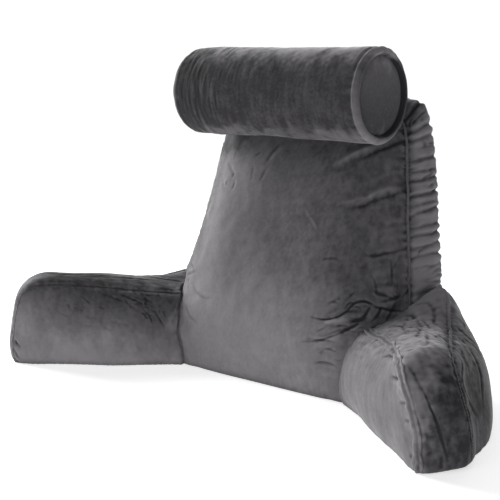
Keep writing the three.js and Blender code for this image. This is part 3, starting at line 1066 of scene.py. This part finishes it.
class PILLOW_OT_roll(bpy.types.Operator):
    """Spin the neck roll's cover, with its rims and recessed ends"""

    bl_idname = "pillow.roll"
    bl_label = "Neck roll cover"

    def execute(self, context):
        low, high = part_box("neck_roll")
        middle = (Vector(low) + Vector(high)) / 2
        half = (high[0] - low[0]) / 2
        right_rows, left_rows = ROLL_DISC + ROLL_RIGHT_EDGE, ROLL_DISC + ROLL_LEFT_EDGE
        right = [(half - row.inwards * MM, row.radius * MM) for row in right_rows]
        left_end = -half - ROLL_LEFT_REACH
        left = [(left_end + row.inwards * MM, row.radius * MM) for row in left_rows]
        tube = [(row.inwards * MM - half, row.radius * MM) for row in ROLL_TUBE]
        rows = right + [(-x, r) for x, r in tube] + (left + tube)[::-1]
        outline = rounded(rows, sizes().roll_grid)
        mesh = bmesh.new()
        spine = [mesh.verts.new((x, 0, max(r, 0))) for x, r in outline]
        edges = [mesh.edges.new(pair) for pair in zip(spine, spine[1:])]
        bmesh.ops.spin(
            mesh,
            geom=spine + edges,
            axis=(1, 0, 0),
            cent=(0, 0, 0),
            angle=2 * math.pi,
            steps=ROLL_STEPS,
            use_merge=True,
        )
        bmesh.ops.remove_doubles(mesh, verts=mesh.verts, dist=WELD)
        bmesh.ops.recalc_face_normals(mesh, faces=mesh.faces)
        bmesh.ops.translate(mesh, verts=mesh.verts, vec=middle)
        piece = new_piece("neck_roll_cover", mesh)
        self.wrinkle(piece, np.array(middle), half)
        hand_over(piece, "neck_roll")
        return {"FINISHED"}

    def wrinkle(self, piece, middle, half):
        """Lays fine rings of wrinkles towards the left end and short puckers by both rims, and
        stores the cover's tone: painted shade in the seam round each disc, painted light on each
        disc that grows towards its top, and a painted highlight along the right end's edge,
        strongest at its top and lower front."""
        mesh = piece.data
        points, normals = points_of(mesh), normals_of(mesh)
        place = points - middle
        x, y, z = place.T
        inwards = half - np.abs(x)
        radius, turn = np.hypot(y, z), np.arctan2(z, y)
        sideways = np.abs(normals[:, 0])
        tube = grow(inwards, 0.012, 0.020)
        left = fade(x, -half + 0.06, 0.02)
        patches = np.clip(0.5 + 0.8 * ripple(points, 0.06, 91), 0, 1)
        rings = np.abs(drawn_ripple(place, 0.013, (1, 9, 9), 92)) - 0.4
        rings += 0.5 * drawn_ripple(place, 0.0065, (1, 7, 7), 98)
        rim = grow(radius, 0.076, 0.082)
        puckers = ripple(np.stack([x / 4, turn * 0.084, 0 * turn], 1), 0.013, 93)
        fine = tube * (0.0001 + 0.0010 * left * patches) * rings
        fine += 0.0005 * rim * fade(np.abs(inwards - 0.010), 0.004, 0.024) * puckers
        fine += 0.0010 * rim * fade(np.abs(inwards - 0.006), 0.002, 0.006)
        out = fine + 0.0012 * tube * ripple(points, 0.12, 94) + 0.0004 * ripple(points, 0.03, 95)
        out += 0.0018 * tube * grow(z, 0.05, 0.08)
        points += normals * out[:, None]
        place_points(mesh, points)
        # Painted shade in the seam round each disc.
        shade = bell((radius - DISC_SEAM) / 0.0024) * (sideways > 0.05)
        # Painted light on each disc, growing towards its top.
        disc = fade(radius, 0.068, 0.071) * grow(sideways, 0.6, 0.8)
        shade -= (0.7 + 8.0 * z) * disc
        # A painted highlight along the right end's edge, strongest at its top and lower front.
        edge = fade(np.abs(inwards - 0.003), 0.004, 0.008) * grow(radius, 0.072, 0.078) * (x > 0)
        shade -= 0.6 * edge * grow(z, 0.04, 0.08)
        shade -= edge * (0.5 + 0.9 * fade(z + 0.6 * y, -0.08, 0.05))
        paint_nap_and_light(mesh, "neck_roll_cover", points, normals, fine, shade, 96)


# Welts


class WeltLook(NamedTuple):
    """A seam's welt in mm: half its width, its height and how deep the groove along it is; then
    how much lighter than the cover it is painted, a painted highlight along it (painted shade where
    below zero), and whether its stitches show."""

    half_width: float
    height: float
    groove: float
    lighter: float
    stitched: bool


WELT_SIDES = 18
STITCH_REACH = (0.0019, 0.0006, 0.0006, 1)
WELT_LOOKS = {
    "back_front_welt": WeltLook(2.6, 2.6, 0.0, 0.16, False),
    "back_rear_welt": WeltLook(2.6, 2.6, 0.0, 0.12, False),
    "right_arm_inner_welt": WeltLook(7.0, 2.6, 2.2, 0.10, False),
    "right_arm_outer_welt": WeltLook(2.8, 1.8, 0.6, 0.04, True),
    "left_arm_inner_welt": WeltLook(2.0, 1.5, 0.0, -0.10, False),
    "left_arm_outer_welt": WeltLook(2.8, 1.8, 0.6, 0.04, True),
}


def cover_of(node):
    """The name of the cover that a welt is sewn to."""
    side = node.split("_")[1]
    return {"back": "back_cover", "right": "right_arm_cover", "left": "left_arm_cover"}[side]


def welt_frames(node):
    """The welt's stations: where it sits on its cover, the way out and the way along there."""
    cover = cover_of(node)
    line = lift(seam_path(node), cover)
    seats = laid_on(surface_of(bpy.data.objects[cover]), line)
    outs = smoothed(line - seats, 8)
    seats = smoothed(seats, 4)
    along = unit(np.gradient(seats, axis=0))
    outs -= (outs * along).sum(1)[:, None] * along
    return seats, unit(outs), along


def welt_ring(mesh, look):
    """The outline across a welt, with its groove on top; painted shade in the groove and along the
    welt's sides.
    """
    nap_and_painted_light = mesh.verts.layers.float.new("nap_and_painted_light")
    made = bmesh.ops.create_circle(mesh, segments=WELT_SIDES, radius=1)
    for vertex in made["verts"]:
        across, up = vertex.co.x, vertex.co.y
        groove = look.groove * math.exp(-((across / 0.42) ** 2)) if up > 0 else 0
        # Painted shade in the welt's groove and along its sides, on top of its painted lightness.
        vertex[nap_and_painted_light] = look.lighter - 0.20 * groove - 0.35 * max(0, abs(across) - 0.75)
        rise = look.height * (abs(up) ** 0.8) if up > 0 else 2.5 * up
        vertex.co = Vector((across * look.half_width, rise - groove, 0)) * MM
    return made["verts"]


def sweep(mesh, ring, seats, outs, along, swell):
    """Extrudes the ring along the stations and closes both ends."""
    edges = list({e for v in ring for e in v.link_edges})
    before = Matrix.Identity(4)
    first = None
    for k in range(len(seats)):
        out, way = Vector(outs[k]), Vector(along[k])
        side = way.cross(out)
        turn = Matrix((side * swell[k], out * swell[k], way)).transposed().to_4x4()
        here = Matrix.Translation(Vector(seats[k])) @ turn
        if k:
            made = bmesh.ops.extrude_edge_only(mesh, edges=edges)["geom"]
            edges = [g for g in made if isinstance(g, bmesh.types.BMEdge)]
            ring = [g for g in made if isinstance(g, bmesh.types.BMVert)]
        else:
            first = list(edges)
        bmesh.ops.transform(mesh, matrix=here @ before.inverted(), verts=ring)
        before = here
    for end in (first, edges):
        bmesh.ops.holes_fill(mesh, edges=end, sides=0)
    bmesh.ops.recalc_face_normals(mesh, faces=mesh.faces)


def stitch(mesh, seats, outs, along, look):
    """Short stitches along the middle of the welt, in their own material."""
    gone = np.concatenate([[0], np.cumsum(np.linalg.norm(np.diff(seats, axis=0), axis=1))])
    rise = (look.height - look.groove) * MM
    for at in np.arange(0.006, gone[-1] - 0.004, sizes().stitch_pitch):
        seat, out, way = (
            Vector([np.interp(at, gone, column) for column in rows.T])
            for rows in (seats, outs, along)
        )
        turn = Matrix((way, way.cross(out), out)).transposed().to_4x4()
        place = Matrix.Translation(seat + out * rise) @ turn
        shape = place @ Matrix.Diagonal(STITCH_REACH)
        made = bmesh.ops.create_icosphere(mesh, subdivisions=1, radius=1, matrix=shape)
        for face in {f for v in made["verts"] for f in v.link_faces}:
            face.material_index = 1


class PILLOW_OT_welts(bpy.types.Operator):
    """Sew the welts into the back's and the arms' seams"""

    bl_idname = "pillow.welts"
    bl_label = "Welts"

    def execute(self, context):
        for seed, (name, node) in enumerate(WELTS.items()):
            look = WELT_LOOKS[name]
            seats, outs, along = welt_frames(node)
            random = np.random.default_rng(50 + seed)
            swell = 1 + 0.16 * smoothed(random.uniform(-1, 1, len(seats))[:, None], 1)[:, 0]
            mesh = bmesh.new()
            ring = welt_ring(mesh, look)
            sweep(mesh, ring, seats, outs, along, swell)
            if look.stitched:
                stitch(mesh, seats, outs, along, look)
            piece = new_piece(name, mesh)
            spots = points_of(piece.data)
            spots[:, 2] = np.maximum(spots[:, 2], 0)
            place_points(piece.data, spots)
            layer = piece.data.attributes["nap_and_painted_light"]
            nap_and_painted_light = np.empty(len(spots), np.float32)
            layer.data.foreach_get("value", nap_and_painted_light)
            # The cover's zone tones, partly painted light and shade, with a little mottling.
            nap_and_painted_light += zone_nap_and_light(cover_of(node), spots) + 0.08 * ripple(spots, 0.008, 70 + seed)
            layer.data.foreach_set("value", nap_and_painted_light)
            hand_over(piece, node)
            piece.data.materials.append(thread_material())
        return {"FINISHED"}


# Materials


def add(tree, kind, settings=None, values=None, links=None):
    """Adds a node: its settings, its sockets' own values and what is linked into it."""
    node = tree.nodes.new(kind)
    for name, setting in (settings or {}).items():
        setattr(node, name, setting)
    for socket, value in (values or {}).items():
        node.inputs[socket].default_value = value
    for socket, source in (links or {}).items():
        tree.links.new(source, node.inputs[socket])
    return node


def new_material(name):
    """A material without nodes."""
    material = bpy.data.materials.new(name)
    material.use_nodes = True
    material.node_tree.nodes.clear()
    return material


def noise(tree, place, size, detail=3, roughness=0.55, distortion=0.0):
    """Noise whose largest patches are about that size in metres."""
    values = {"Scale": 1 / size, "Detail": detail, "Roughness": roughness, "Distortion": distortion}
    return add(tree, "ShaderNodeTexNoise", values=values, links={"Vector": place}).outputs["Fac"]


def spread(tree, value, low, high, to_low, to_high):
    """Maps the values from low to high onto those from to_low to to_high."""
    values = {"From Min": low, "From Max": high, "To Min": to_low, "To Max": to_high}
    return add(tree, "ShaderNodeMapRange", values=values, links={"Value": value}).outputs[0]


def shade_with(tree, values, links=None):
    """The material's one surface shader and its output."""
    shader = add(tree, "ShaderNodeBsdfPrincipled", values=values, links=links)
    add(tree, "ShaderNodeOutputMaterial", links={"Surface": shader.outputs[0]})


def plush_material():
    """Short-pile polyester plush: matt, between two tones as its stored tone says, which holds the
    pile's mottling with painted light and shade, and with a pale sheen at grazing views that grows
    with that tone's lightness."""
    known = bpy.data.materials.get("short-pile plush")
    if known:
        return known
    material = new_material("short-pile plush")
    tree = material.node_tree
    place = add(tree, "ShaderNodeTexCoord").outputs["Object"]
    # The stored tone: the pile's mottling with painted light and shade.
    nap_and_painted_light = add(tree, "ShaderNodeAttribute", {"attribute_name": "nap_and_painted_light"}).outputs["Fac"]
    grain = spread(tree, noise(tree, place, 0.005, 4, 0.6, 0.5), 0.25, 0.75, -0.07, 0.07)
    plus = {"operation": "ADD", "use_clamp": True}
    share = add(tree, "ShaderNodeMath", plus, links={0: nap_and_painted_light, 1: grain}).outputs[0]
    tones = {6: (*colours().plush_dark_tone, 1), 7: (*colours().plush_light_tone, 1)}
    tone = add(tree, "ShaderNodeMix", {"data_type": "RGBA"}, tones, {0: share}).outputs[2]
    fuzz = {"Strength": 0.35, "Distance": 0.0009}
    pile = add(tree, "ShaderNodeBump", values=fuzz, links={"Height": noise(tree, place, 0.0018, 3)})
    scale = {"operation": "MULTIPLY_ADD"}
    sheen = add(tree, "ShaderNodeMath", scale, {1: 0.5, 2: 0.15}, {0: share})
    cloth = {
        "Roughness": 0.85,
        "Specular IOR Level": 0.25,
        "Sheen Roughness": 0.3,
        "Sheen Tint": (0.85, 0.84, 0.86, 1),
    }
    links = {"Base Color": tone, "Normal": pile.outputs[0], "Sheen Weight": sheen.outputs[0]}
    shade_with(tree, cloth, links)
    return material


def thread_material():
    """Twisted polyester sewing thread: a little lighter than the plush, with a dull shine."""
    known = bpy.data.materials.get("sewing thread")
    if known:
        return known
    material = new_material("sewing thread")
    shade_with(material.node_tree, {"Base Color": (*colours().thread, 1), "Roughness": 0.5})
    return material


# Stage

# Each lamp's turn round the pillow and height above it in degrees, and its power in watts
LAMPS = {
    "key_light": (182, 20, 132),
    "upper_light": (290, 55, 9),
    "right_fill": (0, 50, 1),
    "front_fill": (268, 12, 5),
}
LAMP_SIZE, LAMP_AIM, LAMP_REACH = 1.6, 0.25, 3.0
# The camera that was fitted to the photograph: metres, millimetres and degrees
CAMERA_PLACE = (1.2844, -1.6528, 0.6259)
CAMERA_LENS = 78.66
CAMERA_DOWN, CAMERA_TURN = 10.2374, 39.9138
FLOOR_RADIUS = 2.4


class PILLOW_OT_stage(bpy.types.Operator):
    """Lay the pale floor and set the soft lights and the camera"""

    bl_idname = "pillow.stage"
    bl_label = "Studio stage"

    def execute(self, context):
        scene = context.scene
        mesh = bmesh.new()
        bmesh.ops.create_circle(mesh, cap_ends=True, segments=96, radius=FLOOR_RADIUS)
        floor = new_piece("studio_floor", mesh)
        paint = new_material("pale studio floor")
        look = {
            "Base Color": (*colours().floor, 1),
            "Roughness": 0.9,
            "Emission Color": (*colours().floor, 1),
            "Emission Strength": 0.7,
        }
        shade_with(paint.node_tree, look)
        floor.data.materials.append(paint)

        self.surroundings(scene)
        for name, row in LAMPS.items():
            self.lamp(name, *row)

        camera = bpy.data.cameras.new("camera")
        camera.lens = CAMERA_LENS
        camera.sensor_width = 36
        eye = bpy.data.objects.new("camera", camera)
        eye.location = CAMERA_PLACE
        eye.rotation_euler = (math.radians(90 - CAMERA_DOWN), 0, math.radians(CAMERA_TURN))
        scene.collection.objects.link(eye)
        scene.camera = eye
        scene.view_settings.view_transform = "Standard"
        return {"FINISHED"}

    def surroundings(self, scene):
        """A white studio wall all round that is dim on the side of the camera."""
        world = bpy.data.worlds.new("studio")
        world.use_nodes = True
        tree = world.node_tree
        way = add(tree, "ShaderNodeTexCoord").outputs["Generated"]
        back = {1: (-0.6, 0.8, 0.0)}
        facing = add(tree, "ShaderNodeVectorMath", {"operation": "DOT_PRODUCT"}, back, {0: way})
        light = spread(tree, facing.outputs["Value"], 0.2, 0.8, 0.12, 1.05)
        background = tree.nodes["Background"]
        background.inputs["Color"].default_value = (1, 1, 1, 1)
        tree.links.new(light, background.inputs["Strength"])
        scene.world = world

    def lamp(self, name, turn, height, power):
        """A square soft light aimed at the pillow."""
        turn, height = math.radians(turn), math.radians(height)
        level = math.cos(height)
        way = Vector((math.cos(turn) * level, math.sin(turn) * level, math.sin(height)))
        light = bpy.data.lights.new(name, "AREA")
        light.size = LAMP_SIZE
        light.energy = power
        lamp = bpy.data.objects.new(name, light)
        lamp.location = Vector((0, 0, LAMP_AIM)) + LAMP_REACH * way
        lamp.rotation_euler = way.to_track_quat("Z", "Y").to_euler()
        bpy.context.scene.collection.objects.link(lamp)


class PILLOW_PT_panel(bpy.types.Panel):
    """The pillow's sizes, colours and pieces"""

    bl_idname = "PILLOW_PT_panel"
    bl_label = "Backrest pillow"
    bl_space_type = "VIEW_3D"
    bl_region_type = "UI"
    bl_category = "Pillow"

    def draw(self, context):
        for group in (context.scene.pillow_sizes, context.scene.pillow_colours):
            for name in group.bl_rna.properties.keys():
                if name not in ("rna_type", "name"):
                    self.layout.prop(group, name)
        for operator in OPERATORS:
            self.layout.operator(operator.bl_idname)


OPERATORS = (PILLOW_OT_covers, PILLOW_OT_roll, PILLOW_OT_welts, PILLOW_OT_stage)
CLASSES = (PillowSizes, PillowColours, *OPERATORS, PILLOW_PT_panel)


def register():
    for each in CLASSES:
        bpy.utils.register_class(each)
    bpy.types.Scene.pillow_sizes = PointerProperty(type=PillowSizes)
    bpy.types.Scene.pillow_colours = PointerProperty(type=PillowColours)


def unregister():
    del bpy.types.Scene.pillow_colours
    del bpy.types.Scene.pillow_sizes
    for each in reversed(CLASSES):
        bpy.utils.unregister_class(each)


def main():
    register()
    bpy.ops.pillow.covers()
    bpy.ops.pillow.roll()
    bpy.ops.pillow.welts()
    bpy.ops.pillow.stage()


if __name__ == "__main__":
    main()
